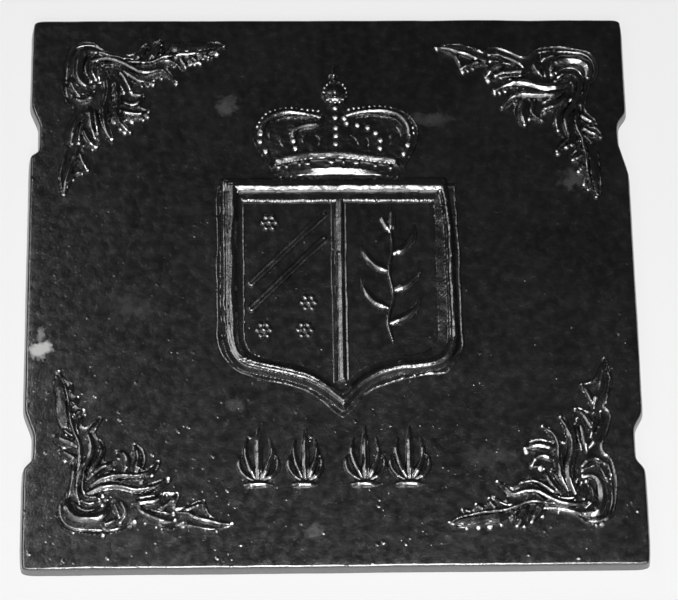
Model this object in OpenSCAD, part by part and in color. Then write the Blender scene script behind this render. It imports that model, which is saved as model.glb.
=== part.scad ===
// Cast iron fireback: a drafted slab with four shallow notches, a leaf ornament in each corner,
// an arched crown over a divided shield, and a row of palmettes below.
// Millimetres. Z is up, -Y is the front, and the middle of the box's underside is the origin.

/* [Plate] */
// Width of the front face
face_width = 600; // [590:1:680]
// Height of the front face
face_height = 567; // [560:1:640]
// Thickness of the slab
plate_thickness = 15; // [10:0.5:25]
// How far each side flares out towards the back
side_draft = 3; // [1:0.5:6]
// Rounding of the arris round the front face
arris_radius = 3; // [1:0.5:4]
// Radius of the slab's corners, seen from the front
corner_radius = 7; // [4:1:15]
// How far inside the front face's edge the notches' floors lie
notch_depth = 6; // [3:0.5:10]

/* [Corner ornaments] */
// Height of the thin pad under the leaves
pad_height = 1.5; // [0.5:0.5:3]
// Height of the curl and the long fronds over the face
leaf_height = 9; // [6:0.5:12]
// How far the top left ornament is turned from square, in degrees
turn_top_left = 1.2; // [-4:0.1:4]
// How far the bottom right ornament is turned from square, in degrees
turn_bottom_right = 2.3; // [-4:0.1:4]
// How far the bottom left ornament is turned from square, in degrees
turn_bottom_left = 3.7; // [-4:0.1:4]

/* [Shield] */
// Height of the moulding round the shield
frame_height = 9; // [5:0.5:12]
// Height of the upright rib through the shield
divider_height = 5; // [3:0.5:8]
// Height of the charges in both halves
charge_height = 4.5; // [2:0.5:8]

/* [Crown] */
// Height of the crown's lining over the face
lining_height = 2; // [1:0.5:4]
// Height of the arches and bands over the lining
arch_height = 7; // [4:0.5:9]
// Radius of the orb
orb_radius = 14; // [10:0.5:15]
// Height of the orb over the face
orb_height = 11; // [6:0.5:13]

/* [Lower row] */
// Height of the palmettes over the face
palmette_height = 6; // [3:0.5:9]
// Level of the palmettes' feet above the slab's lower edge
palmette_level = 80; // [50:1:85]

/* [Output] */
// Sub-part to build, or all of them

/* [Hidden] */
$fn = 32;
iron = [0.10, 0.10, 0.11];
iron_relief = [0.16, 0.16, 0.17];

half_width = face_width / 2;
back_half_width = half_width + side_draft;
back_height = face_height + 2 * side_draft;
face_top = side_draft + face_height;
notch_floor = half_width - notch_depth;
relief_height = max(leaf_height + 1, frame_height, orb_height, lining_height + arch_height);
back_y = (plate_thickness + relief_height) / 2;
// The shield and crown stand a little right of the middle, and their sizes are in mm from it
middle_x = 7;
// Facets round each arc of the slab
arc_steps = 5;

// Where the ornaments' drawing starts, mm from the face's corner, before the quarter turn
shift_top_left = [0.1, 2];
shift_bottom_right = [-2.9, -15.4];
shift_bottom_left = [0.2, -11];
// The pad under one corner ornament: mm right of and below the face's corner, clockwise
pad_outline = [
    [31, 46], [35, 33], [41, 28], [50, 24.5], [57, 25], [63, 27], [71, 33.5], [77, 36], [83, 38],
    [96, 40], [101, 38], [106, 33], [113, 29], [116, 38], [117, 31], [121, 27], [126, 25],
    [131, 30], [131, 37], [138, 31.5], [145, 29], [155, 28.5], [188, 28], [195, 34],
    [186, 41], [181, 47], [171, 47], [168, 52], [163, 53], [158, 51], [154, 58], [149, 60],
    [142, 55], [134, 57], [146, 72], [142, 74], [130, 67], [122, 73], [112, 76], [102, 74],
    [101, 83], [110, 84], [112, 90], [106, 96], [117, 103], [111, 112], [98, 114], [90, 111],
    [98, 124], [94, 127], [86, 122], [80, 112], [76, 112], [81, 133], [77, 137], [71, 130],
    [66, 112], [64, 112], [67, 128], [65, 142], [60, 144], [51, 140], [52, 150], [56, 160],
    [56, 167], [47, 169], [40, 173], [36, 178], [33, 186], [30, 193],
    [27, 190], [25, 183], [24, 175], [24, 165], [27, 157], [30, 151], [33, 143], [29, 139],
    [28, 131], [31, 121], [35, 112], [39, 104], [38, 98], [33, 93], [30, 87], [28, 75], [28, 62]];

// The leaves of one corner ornament: width, height as a share of leaf_height, and the ridge's
// points in the pad's measure, from the root to the tip
leaves = [
    // the curl round the corner
    [10, 1.00, [[63, 37], [56, 36.5], [50, 39], [46, 46], [44.5, 55], [45, 64], [49, 71], [55, 74],
        [61, 73.5]]],
    // the flat lip outside the curl
    [6, 0.45, [[64, 31], [54, 29], [42, 33], [36, 44], [34.5, 58], [34, 72], [35, 86]]],
    // the two rolls inside the curl
    [5, 0.60, [[62, 42], [56, 47], [53, 54], [54, 62], [58, 69]]],
    [5, 0.65, [[68, 47], [61, 54], [60, 61], [63, 67]]],
    // the stem that runs on to the tip below
    [8, 0.95, [[60, 48], [70, 46], [80, 47], [90, 51], [98, 55.5], [106, 60.5], [113, 62], [121, 61],
        [129, 59.5], [134, 63], [139, 68], [144, 72]]],
    // its shoulder
    [9, 0.45, [[68, 38], [78, 41], [90, 44], [102, 45]]],
    // the stem that runs on into the side leaf
    [6, 0.80, [[86, 47], [97, 49.5], [110, 51], [120, 50], [131, 46], [145, 43.5], [160, 42.5],
        [172, 41], [182, 39], [193, 34.5]]],
    // the side leaf's smooth upper half
    [10, 0.60, [[134, 38], [145, 35], [158, 34], [172, 34], [184, 33.5], [191, 33]]],
    // its three scallops
    [8, 0.70, [[148, 45], [151, 52], [153, 56]]],
    [8, 0.65, [[160, 45], [164, 49], [166, 51]]],
    [7, 0.60, [[172, 43], [177, 45.5], [180, 46]]],
    // the two lobes over the stem
    [8, 0.75, [[103, 48], [108, 42], [112, 36], [114, 31]]],
    [9, 0.80, [[117, 48], [121, 42], [125, 35], [129, 27]]],
    // the frond under the stem
    [7, 0.75, [[84, 58], [92, 60.5], [99, 65.5], [106, 70], [113, 71.5], [121, 70]]],
    // the two short fronds beside the long ones
    [7, 0.75, [[84, 57], [90, 64], [95, 72], [98, 82]]],
    [6, 0.65, [[79, 62], [85, 71], [90, 83]]],
    // the two side crescents
    [7, 0.75, [[88, 91], [94, 94.5], [100, 96], [106, 93], [110, 86]]],
    [10, 0.85, [[86, 102], [94, 105], [104, 106.5], [115, 103.5]]],
    // the long fronds
    [12, 0.90, [[69, 56], [74, 68], [75, 80], [73, 90], [70, 100], [70, 110], [72, 121], [78, 133]]],
    [9, 0.95, [[77, 60], [82, 71], [84, 83], [84, 95], [83, 104], [85, 113], [89, 119], [96, 125]]],
    // the small lobe and the crescent under the curl
    [6, 0.55, [[38, 67], [41, 77], [46, 84]]],
    [6, 0.80, [[62, 83.5], [57, 88], [50, 91], [44, 89], [39, 85]]],
    // the fronds under the crescent
    [7, 0.75, [[55, 100], [49, 106], [44, 114], [40, 122], [38, 130], [38, 137]]],
    [4, 0.55, [[51, 111], [48, 120], [46, 129], [45, 136]]],
    [8, 0.75, [[49, 120], [53, 130], [57, 136], [63, 141]]],
    [10, 0.80, [[56, 98], [57, 108], [58, 118], [60, 126], [64, 132]]],
    // the lower leaf's two ridges and its lip
    [8, 0.80, [[45, 141], [43, 150], [38, 160], [35, 170], [32, 180], [30, 191]]],
    [6, 0.70, [[46, 144], [49, 155], [54, 166]]],
    [4, 0.60, [[53, 166], [46, 168], [39, 172], [34, 182], [30, 190]]],
    [4, 0.50, [[33, 145], [30, 158], [27, 170], [29, 188]]]];

// The shield's moulding: its outer and inner foot at each station, mm right and up
left_mitre = [[-112, 398], [-87, 376.5]];
right_mitre = [[126, 398], [101, 376.5]];
left_base_line = [
    [[-112, 246], [-87, 246]], [[-111, 219], [-87, 236]], [[-101, 204], [-82, 227]],
    [[-80, 193], [-73, 219]], [[-60, 187], [-58, 213]], [[-40, 181], [-38, 209]],
    [[-20, 170], [-18, 200]], [[-8, 159], [-4, 191]], [[7, 150], [7, 185]]];
right_base_line = [
    [[7, 150], [7, 185]], [[25, 166], [22, 196]], [[41, 181], [38, 206]],
    [[60, 188], [55, 213]], [[78, 191], [72, 216]], [[95, 195], [87, 219]],
    [[115, 204], [96, 227]], [[125, 219], [101, 236]], [[126, 246], [101, 246]]];
// Its section: share of the way from the outer to the inner foot, share of the height
moulding_profile = [[0, 0], [0.18, 0.8], [0.34, 1], [0.42, 0.96], [0.54, 0.52], [0.94, 0.43], [1, 0]];
field_top = 376.5;
divider_foot = 192;
divider_width = 15;

// The charges: diagonal bends and rosettes on the left, a climbing stem on the right
bends = [[[-80, 262], [-8, 334]], [[-80, 288], [-8, 360]]];
bend_width = 9;
rosettes = [[-62, 352], [-28, 240], [-68, 240], [-24, 268]];
petals = 6;
petal_radius = 4;
petal_spread = 6.5;
stem_line = [[58, 228], [54, 250], [60, 275], [56, 300], [60, 325], [58, 350]];
stem_leaves = [
    [[56, 246], [70, 252], [82, 262], [86, 274]],
    [[56, 262], [42, 268], [32, 280], [29, 292]],
    [[60, 280], [74, 286], [84, 298], [87, 310]],
    [[57, 300], [43, 306], [33, 318], [30, 330]],
    [[59, 318], [72, 324], [81, 336], [83, 348]],
    [[58, 342], [52, 352], [50, 362]],
    [[58, 342], [60, 354], [59, 368]]];
stem_leaf_width = 10;
stem_width = 5;
stem_share = 0.8;

// The crown: its lining's outline, its two bands, its arches and its pearls, mm right and up
lining_outline = [
    [-50, 400], [10, 404], [70, 402], [75, 411], [82, 423], [87, 433], [90, 449], [87, 459],
    [80, 468], [66, 475], [50, 477], [28, 473], [14, 476], [0, 476], [-20, 470], [-40, 475],
    [-58, 471], [-71, 465], [-78, 452], [-78, 438], [-70, 424], [-62, 411]];
circlet_bands = [
    [[-64, 415], [-32, 421], [0, 425], [35, 423.5], [66, 419], [76, 416]],
    [[-46, 404.5], [-20, 407.5], [10, 409.5], [40, 408.5], [64, 406.5]]];
arches = [
    [[-69.5, 449], [-66, 458], [-58, 465], [-43, 469], [-24, 467], [-8, 465]],
    [[80, 444], [79.5, 451], [76, 459], [67, 467], [50, 470.5], [28, 469], [16, 466]],
    [[-37, 428], [-37, 440], [-35, 450], [-25, 456], [-12, 459]]];
band_width = 7;
arch_width = 6;
jewel_level = 415;
jewel_radius = 3;
jewel_pitch = 17;
jewel_count = 7;
jewel_start = -42;
pearl_x = 5.5;
pearls = [
    [5.5, 473], [5.5, 463], [5.5, 453], [5.5, 443.5], [5.5, 434.5], [-70, 442], [-70.5, 433.5],
    [-65, 424.5], [78, 433], [73.5, 423.5], [27.5, 454.5], [38, 451.8], [46, 446], [50.5, 438],
    [50, 429.5]];
pearl_radius = 3.6;
orb_centre = [5.5, 492];
cross_level = 509;
cross_arm = 5;
cross_width = 4;
cross_height = 7;
cross_tip = 522;

// The palmettes: middle and width of each, and the leaves of one, mm from the middle of its foot
palmette_places = [[-74, 42], [-29, 36], [29, 42], [72, 42]];
palmette_span = 42;
palmette_leaves = [
    [9, [[0, 8], [0, 24], [0, 42], [0, 61]]],
    [7, [[3, 9], [9, 22], [13, 36], [11, 50]]],
    [6, [[4, 8], [12, 12], [18, 20], [18, 30], [13, 34]]],
    [7, [[-3, 9], [-9, 22], [-13, 36], [-11, 50]]],
    [6, [[-4, 8], [-12, 12], [-18, 20], [-18, 30], [-13, 34]]],
    [6, [[-13, 3], [-4, 5], [4, 5], [13, 3]]]];

// The shape of a leaf: its width and height at a station, as shares of the full ones
root_share = 0.55;
neck_share = 0.85;
tip_share = 0.3;
shoulder_x = 0.3;
shoulder_z = 0.72;
overlap = 0.4;
cap_start = 0.95;
cap_reach = 0.3;
cap_share = 0.4;

function along(line, i) = let (last = len(line) - 1)
    let (d = line[min(i + 1, last)] - line[max(i - 1, 0)]) d / norm(d);
function share(i, last) = i == 0 ? root_share : i == last ? tip_share : i == last - 1 ? neck_share : 1;
function arc(centre, r, from, to) = [for (k = [0:arc_steps])
    let (a = from + (to - from) * k / arc_steps) centre + r * [cos(a), sin(a)]];
// The cross-section of a leaf at a point of its ridge
function leaf_section(p, d, w, h) = let (n = [-d[1], d[0]]) [
    concat(p - n * w / 2, 0), concat(p - n * w * shoulder_x, h * shoulder_z), concat(p, h),
    concat(p + n * w * shoulder_x, h * shoulder_z), concat(p + n * w / 2, 0)];

// One stretch between two sections with the same number of points
module link(a, b) {
    count = len(a);
    hull() polyhedron(concat(a, b), concat([[for (i = [0:count - 1]) i]],
        [[for (i = [count - 1:-1:0]) count + i]],
        [for (i = [0:count - 1]) [i, (i + 1) % count, count + (i + 1) % count, count + i]]));
}

// The skin through some sections of equally many points: both ends, then the sides. The first
// end is listed backwards from its point numbered first.
function skin_points(sections) = [for (s = sections) for (p = s) p];
function skin_faces(count, last, first) = concat(
    [[for (i = [0:count - 1]) (first - i + count) % count]],
    [[for (i = [0:count - 1]) last * count + i]],
    [for (k = [0:last - 1]) for (i = [0:count - 1])
        let (a = k * count + i, b = k * count + (i + 1) % count) [a, b, b + count, a + count]]);
// Splits faces into triangles that all start at the face's first point
function fans(faces) = [for (f = faces) for (i = [1:len(f) - 2]) [f[0], f[i], f[i + 1]]];

// A ridge swept through its sections as one closed skin
module sweep(sections) {
    count = len(sections[0]);
    polyhedron(skin_points(sections), skin_faces(count, len(sections) - 1, count - 1));
}

// The rounded end of a ridge. It starts a little way inside the ridge, so that they join.
module end_cap(p, d, w, h)
    link(leaf_section(p - overlap * d, d, w, h * cap_start),
        leaf_section(p + w * cap_reach * d, d, w * cap_share, h * cap_share));

// A rounded ridge along a line of points, lower and narrower at both ends
module leaf(line, w, h) {
    last = len(line) - 1;
    sweep([for (i = [0:last])
        leaf_section(line[i], along(line, i), w * share(i, last), h * share(i, last))]);
    end_cap(line[0], -along(line, 0), w * root_share, h * root_share);
    end_cap(line[last], along(line, last), w * tip_share, h * tip_share);
}

// A ridge of one size from end to end
module band(line, w, h)
    sweep([for (i = [0:len(line) - 1]) leaf_section(line[i], along(line, i), w, h)]);

// A low dome with a round foot
module dome(at, foot_radius, h) {
    ball = (foot_radius * foot_radius + h * h) / (2 * h);
    translate([at[0], at[1], 0])
        intersection() {
            translate([0, 0, h - ball]) sphere(ball);
            translate([-foot_radius, -foot_radius, 0]) cube([2 * foot_radius, 2 * foot_radius, h + 1]);
        }
}

// Turns a drawing that is seen from the front upright and puts it on the slab's face
module on_face(shade)
    color(shade) translate([0, back_y - plate_thickness, 0]) rotate([90, 0, 0]) children();

// The shield's moulding, with its crest and its inner shelf, swept through some stations. Its
// section is hollow, but all of it can be seen from its outer foot, where the ends' fans start.
function moulding_section(s) =
    [for (m = moulding_profile) concat(s[0] + m[0] * (s[1] - s[0]), m[1] * frame_height)];
module moulding(stations)
    polyhedron(skin_points([for (s = stations) moulding_section(s)]),
        fans(skin_faces(len(moulding_profile), len(stations) - 1, 0)));

module notch(side, low, flat_low, flat_high, high) {
    beyond = back_half_width + corner_radius;
    translate([0, 0, -1])
        linear_extrude(plate_thickness + 2)
            polygon([[side * beyond, low], [side * back_half_width, low], [side * notch_floor, flat_low],
                [side * notch_floor, flat_high], [side * back_half_width, high], [side * beyond, high]]);
}

// Half of the slab's cross-section, from the back to the middle of the front
function side_profile(half) = concat([[half + side_draft, 0]],
    arc([half - arris_radius, plate_thickness - arris_radius], arris_radius, 12, 90));
function whole_profile(half) = let (right = side_profile(half), last = len(right) - 1)
    concat(right, [for (k = [last:-1:0]) [-right[k][0], right[k][1]]]);

module plate() {
    w = back_half_width;
    r = corner_radius;
    color(iron)
        translate([0, back_y, 0])
            rotate([90, 0, 0])
                difference() {
                    intersection() {
                        rotate([90, 0, 0]) mirror([0, 0, 1])
                            linear_extrude(back_height) polygon(whole_profile(half_width));
                        translate([-w, back_height / 2, 0]) rotate([0, 90, 0]) rotate([0, 0, 90])
                            linear_extrude(2 * w) polygon(whole_profile(face_height / 2));
                        linear_extrude(plate_thickness)
                            polygon(concat(arc([w - r, r], r, -90, 0),
                                arc([w - r, back_height - r], r, 0, 90),
                                arc([r - w, back_height - r], r, 90, 180),
                                arc([r - w, r], r, 180, 270)));
                    }
                    notch(-1, 425, 431, 456, 475);
                    notch(-1, 103, 112, 135, 157);
                    notch(1, 406, 435, 456, 468);
                    notch(1, 98, 108, 137, 152);
                }
}

// One corner ornament, drawn for the top left corner of the face
module ornament() {
    linear_extrude(pad_height) polygon([for (p = pad_outline) [p[0], -p[1]]]);
    for (one = leaves)
        leaf([for (p = one[2]) [p[0], -p[1]]], one[0], one[1] * (leaf_height + 1));
}

module corner_ornament_top_left() on_face(iron_relief)
    translate([-half_width, face_top])
        translate(shift_top_left) rotate(turn_top_left) ornament();
module corner_ornament_top_right() on_face(iron_relief)
    translate([half_width, face_top]) rotate(-90) ornament();
module corner_ornament_bottom_right() on_face(iron_relief)
    translate([half_width, side_draft]) rotate(180)
        translate(shift_bottom_right) rotate(turn_bottom_right) ornament();
module corner_ornament_bottom_left() on_face(iron_relief)
    translate([-half_width, side_draft]) rotate(90)
        translate(shift_bottom_left) rotate(turn_bottom_left) ornament();

// Anticlockwise round the shield, so that the outer foot is on the right of the way
module frame_top_rail() on_face(iron_relief) moulding([right_mitre, left_mitre]);
module frame_left_stile() on_face(iron_relief) moulding([left_mitre, left_base_line[0]]);
module frame_left_base() on_face(iron_relief) moulding(left_base_line);
module frame_right_base() on_face(iron_relief) moulding(right_base_line);
module frame_right_stile() on_face(iron_relief)
    moulding([right_base_line[len(right_base_line) - 1], right_mitre]);

module shield_divider() on_face(iron_relief)
    translate([middle_x, divider_foot, 0]) rotate([-90, 0, 0]) mirror([0, 1, 0])
        linear_extrude(field_top - divider_foot)
            polygon([[-divider_width / 2, 0], [divider_width / 2, 0], [divider_width / 8, divider_height],
                [-divider_width / 8, divider_height]]);

module left_bends() on_face(iron_relief) for (line = bends) band(line, bend_width, charge_height);
module left_rosettes() on_face(iron_relief)
    for (at = rosettes) {
        dome(at, petal_radius, charge_height);
        for (k = [0:petals - 1])
            dome(at + petal_spread * [cos(k * 360 / petals), sin(k * 360 / petals)], petal_radius * 0.9,
                charge_height * 0.7);
    }
module right_stem() on_face(iron_relief) leaf(stem_line, stem_width, charge_height * stem_share);
module right_leaves() on_face(iron_relief)
    for (line = stem_leaves) leaf(line, stem_leaf_width, charge_height);

module crown_lining() on_face(iron_relief) linear_extrude(lining_height) polygon(lining_outline);
module on_lining() on_face(iron_relief) translate([0, 0, lining_height]) children();
module crown_circlet() on_lining() for (line = circlet_bands) band(line, band_width, arch_height);
module crown_jewels() on_lining() for (k = [0:jewel_count - 1])
    translate([jewel_start + k * jewel_pitch, jewel_level - abs(k - jewel_count / 2) * 0.8, 0])
        cylinder(h = arch_height * 0.5, r1 = jewel_radius, r2 = jewel_radius * 0.6);
module crown_arches() on_lining() for (line = arches) band(line, arch_width, arch_height);
module crown_pearls() on_lining() for (at = pearls) dome(at, pearl_radius, arch_height * 0.75);
module crown_orb() on_face(iron_relief) dome(orb_centre, orb_radius, orb_height);
module crown_cross() on_face(iron_relief) {
    translate([pearl_x - cross_width / 2, orb_centre[1] + orb_radius + 1, 0])
        cube([cross_width, cross_tip - orb_centre[1] - orb_radius - 1, cross_height * 0.8]);
    translate([pearl_x - cross_arm, cross_level - cross_width / 2 + 2, 0])
        cube([2 * cross_arm, cross_width, cross_height]);
}

module palmette(k) on_face(iron_relief)
    translate([palmette_places[k][0], palmette_level, 0])
        for (one = palmette_leaves)
            leaf([for (p = one[1]) [p[0] * palmette_places[k][1] / palmette_span, p[1]]],
                one[0], palmette_height);
module palmette_1() palmette(0);
module palmette_2() palmette(1);
module palmette_3() palmette(2);
module palmette_4() palmette(3);

plate();
corner_ornament_top_left();
corner_ornament_top_right();
corner_ornament_bottom_right();
corner_ornament_bottom_left();
frame_top_rail();
frame_left_stile();
frame_right_stile();
frame_left_base();
frame_right_base();
shield_divider();
left_bends();
left_rosettes();
right_stem();
right_leaves();
crown_lining();
crown_circlet();
crown_jewels();
crown_arches();
crown_pearls();
crown_orb();
crown_cross();
palmette_1();
palmette_2();
palmette_3();
palmette_4();
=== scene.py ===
"""A cast iron fireback: slab, corner leaves, shield, crown and palmettes, in black stove polish."""

from math import cos, radians, sin

import bpy
import numpy as np
from mathutils import Matrix, Vector
from mathutils.geometry import delaunay_2d_cdt


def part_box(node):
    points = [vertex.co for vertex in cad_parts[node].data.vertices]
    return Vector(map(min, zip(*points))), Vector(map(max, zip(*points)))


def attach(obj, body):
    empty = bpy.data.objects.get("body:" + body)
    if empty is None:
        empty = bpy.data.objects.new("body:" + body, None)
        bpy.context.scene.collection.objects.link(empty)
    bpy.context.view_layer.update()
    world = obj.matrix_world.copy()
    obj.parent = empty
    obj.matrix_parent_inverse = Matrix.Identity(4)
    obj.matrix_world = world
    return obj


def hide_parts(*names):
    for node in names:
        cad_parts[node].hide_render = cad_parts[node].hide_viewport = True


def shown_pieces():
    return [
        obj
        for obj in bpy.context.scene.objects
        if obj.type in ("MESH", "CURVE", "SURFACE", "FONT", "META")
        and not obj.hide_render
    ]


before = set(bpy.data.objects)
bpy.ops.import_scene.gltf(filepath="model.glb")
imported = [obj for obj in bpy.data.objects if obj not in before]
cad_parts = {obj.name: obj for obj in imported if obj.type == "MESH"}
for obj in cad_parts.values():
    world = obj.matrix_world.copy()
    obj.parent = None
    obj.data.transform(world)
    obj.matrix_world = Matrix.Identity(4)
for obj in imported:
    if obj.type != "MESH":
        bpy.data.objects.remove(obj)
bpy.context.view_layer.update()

MM = 0.001
# The slab's places, in mm: front face, back face, and the lower edge at 0
plate_low, plate_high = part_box("plate")
FRONT = plate_low[1] / MM
BACK = plate_high[1] / MM
FACE_W, FACE_H, DRAFT, NOTCH = 600.0, 567.0, 3.0, 6.0
# How far the reliefs' meshes reach into the slab
SUNK = 1.2
# A form's height where it isn't, the height at which all are cut off, and the least that makes a face
NOWHERE, CUT, LEAST = -9.0, -0.9, -0.85
# How steeply a form falls away below the face
FALL = 1.6
# Steps steeper than this stay crisp
CREASE = radians(32)
# The lean of a bead's cap, as a slope
BEAD_LEAN = 0.34
# The middle of the shield and the crown
MIDDLE_X = 7


# ---- numbers and lines

def noise(x, z, cell, seed):
    """Smooth noise from -1 to 1 over the plane, with features about cell mm across."""
    x, z = np.asarray(x) / cell, np.asarray(z) / cell
    # two turned copies, so that no line of the lattice shows
    return 0.75 * (plain_noise(0.8 * x - 0.6 * z, 0.6 * x + 0.8 * z, seed)
                   + plain_noise(0.91 * x + 0.41 * z, -0.41 * x + 0.91 * z, seed + 500))


def plain_noise(u, v, seed):
    """Noise from -1 to 1 with one value at each whole number, and a smooth passage between them."""
    u, v = u + 1000.0, v + 1000.0
    i, j = np.floor(u).astype(np.int64), np.floor(v).astype(np.int64)
    fu, fv = u - i, v - j
    fu, fv = fu * fu * (3 - 2 * fu), fv * fv * (3 - 2 * fv)

    def knot(a, b):
        n = (a * 374761393 + b * 668265263 + seed * 974634777) & 0xFFFFFFFF
        n = ((n ^ (n >> 13)) * 1274126177) & 0xFFFFFFFF
        return ((n ^ (n >> 16)) & 0xFFFF) / 32767.5 - 1.0

    low = knot(i, j) * (1 - fu) + knot(i + 1, j) * fu
    high = knot(i, j + 1) * (1 - fu) + knot(i + 1, j + 1) * fu
    return low * (1 - fv) + high * fv


def smooth_line(points, per=6, closed=False):
    """A Catmull-Rom curve through the points."""
    p = np.array(points, float)
    if closed:
        p = np.vstack([p[-1], p, p[0], p[1]])
    else:
        p = np.vstack([2 * p[0] - p[1], p, 2 * p[-1] - p[-2]])
    t = np.linspace(0, 1, per, endpoint=False)[:, None]
    out = []
    for a, b, c, d in zip(p[:-3], p[1:-2], p[2:-1], p[3:]):
        out.append(0.5 * (2 * b + (c - a) * t + (2 * a - 5 * b + 4 * c - d) * t**2
                          + (3 * b - a - 3 * c + d) * t**3))
    out = np.vstack(out)
    return out if closed else np.vstack([out, p[-2]])


def line_distance(x, z, line):
    """Distance to a line of points, with the share of its length and the side of the nearest point."""
    a, b = line[:-1], line[1:]
    d = b - a
    size = np.maximum(np.hypot(*d.T), 1e-9)
    start = np.concatenate([[0], np.cumsum(size)])
    best = np.full(x.shape, 1e9)
    where = np.zeros(x.shape)
    side = np.zeros(x.shape)
    for k in range(len(a)):
        px, pz = x - a[k, 0], z - a[k, 1]
        t = np.clip((px * d[k, 0] + pz * d[k, 1]) / size[k] ** 2, 0, 1)
        ex, ez = px - t * d[k, 0], pz - t * d[k, 1]
        q = np.hypot(ex, ez)
        m = q < best
        best[m] = q[m]
        where[m] = (start[k] + t[m] * size[k]) / start[-1]
        side[m] = np.sign(d[k, 0] * pz[m] - d[k, 1] * px[m])
    return best, where, side


def left_of(tangents):
    """Unit vectors that point to the left of a line's tangents."""
    return np.column_stack([-tangents[:, 1], tangents[:, 0]]) / np.hypot(*tangents.T)[:, None]


def ring_tangents(ring):
    """A closed ring's directions at its points, of any length."""
    return np.roll(ring, -1, axis=0) - np.roll(ring, 1, axis=0)


def walk(line, stations):
    """The points of a line at some distances from its start. stations gives them for the line's length."""
    at = np.concatenate([[0], np.cumsum(np.hypot(*np.diff(line, axis=0).T))])
    s = stations(at[-1])
    return np.stack([np.interp(s, at, line[:, 0]), np.interp(s, at, line[:, 1])], 1)


def inside(x, z, ring):
    """True where the points lie inside a closed ring."""
    hit = np.zeros(x.shape, bool)
    for (ax, az), (bx, bz) in zip(ring, np.roll(ring, -1, axis=0)):
        if az != bz:
            hit ^= ((az > z) != (bz > z)) & (x < (bx - ax) * (z - az) / (bz - az) + ax)
    return hit


def ring_depth(x, z, ring):
    """Distance to a closed ring, positive inside it."""
    d, _, _ = line_distance(x, z, np.vstack([ring, ring[:1]]))
    return np.where(inside(x, z, ring), d, -d)


def step(t):
    """A smooth step from 0 to 1."""
    t = np.clip(t, 0, 1)
    return t * t * (3 - 2 * t)


def profile(at, points):
    """The second value of a line of points, where the first one is at."""
    return np.interp(at, *np.array(points).T)


# ---- heights of the reliefs, in mm

def pad(x, z, ring, height, rim=1.15, wide=2.6):
    """A low pad inside a ring, with a steep edge that is a little raised where the sand was pressed."""
    d = ring_depth(x, z, ring)
    rim = rim * (1 + 0.4 * noise(x, z, 9, 9))
    return np.minimum(d * 2.2, height + rim * np.exp(-(d / wide) ** 2))


def wall(u):
    """The steep side of a form, whose share of the full height falls to 0 where u reaches 1."""
    return np.sqrt(np.clip((1 - u) / 0.2, 0, 1))


def ridge(x, z, points, width, height, root=0.6, tip=0.3, form="round", slope=0.48, uneven=0.6):
    """A leaf along a line: two gentle facets from its ridge, steep sides, and lower, narrower ends.
    root and tip are the shares of its width at the ends, and form is round, double, channel or flat."""
    line = smooth_line(points)
    out = np.full(x.shape, NOWHERE)
    lo, hi = line.min(0) - width, line.max(0) + width
    near = (x > lo[0]) & (x < hi[0]) & (z > lo[1]) & (z < hi[1])
    if not near.any():
        return out
    d, t, side = line_distance(x[near], z[near], line)
    share = np.interp(t, [0, 0.22, 0.62, 1], [root, 1, 0.95, tip])
    half = width * share / 2
    u = d / half
    rise = np.interp(t, [0, 0.2, 0.75, 1], [root, 1, 0.9, 0.45]) * height
    across = np.sqrt((u * half) ** 2 + 0.25) - 0.5
    # the facets are uneven, so they shine in patches
    slope = slope * (1 + uneven * noise(x[near], z[near], 11, 5 + len(points)))
    if form == "channel":
        # two crests
        across = np.sqrt((np.abs(u * half) - 0.45 * half) ** 2 + 0.16) - 0.4
    elif form == "double":
        # a channel along one of its sides
        across = across + 1.1 * np.exp(-(((u * side + 0.5) * half) / 0.6) ** 2)
    elif form == "flat":
        # a nearly level top
        slope = slope * 0.08
    top = np.maximum(rise - slope * across, 0.35 * rise)
    out[near] = np.where(u < 1, top * wall(u), -(d - half) * FALL)
    return out


def dome(x, z, at, radius, height, power=0.5):
    """A round boss, and a ball's upper half at the power of 0.5."""
    r = np.hypot(x - at[0], z - at[1]) / radius
    return np.where(r < 1, height * np.maximum(1 - r * r, 0) ** power, (1 - r) * radius * FALL)


def bead(x, z, at, radius, base, rise, down=(0, -1)):
    """A low round boss: steep sides up to base, and a gentle cap that leans down as pressed sand does."""
    dx, dz = x - at[0], z - at[1]
    r = np.hypot(dx, dz) / radius
    lean = BEAD_LEAN * (dx * down[0] + dz * down[1])
    cap = rise * np.maximum(1 - r * r, 0) - lean * np.clip((1 - r) / 0.15, 0, 1)
    return np.where(r < 1, base * wall(r) + cap, (1 - r) * radius * FALL)


def blend(heights, k):
    """The highest of many forms, with fillets of about k mm between them."""
    out = heights[0]
    for h in heights[1:]:
        out = np.maximum(out, h) + np.maximum(k - np.abs(out - h), 0) ** 2 / (4 * k)
    return out


# ---- meshes

def in_scene(name, data):
    """A new object that is linked to the scene."""
    obj = bpy.data.objects.new(name, data)
    bpy.context.scene.collection.objects.link(obj)
    return obj


def new_object(name, verts, faces, node):
    """A smooth-shaded piece of iron that stands for a node."""
    mesh = bpy.data.meshes.new(name)
    mesh.from_pydata(verts.tolist(), [], faces)
    mesh.validate()
    mesh.update()
    mesh.shade_smooth()
    obj = in_scene(name, mesh)
    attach(obj, "root")
    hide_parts(node)
    return obj


def grid(low, high, cell):
    """The x and z of a lattice's points, with x along the first axis."""
    gx = np.arange(low[0], high[0] + cell, cell)
    gz = np.arange(low[1], high[1] + cell, cell)
    return np.meshgrid(gx, gz, indexing="ij")


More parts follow.
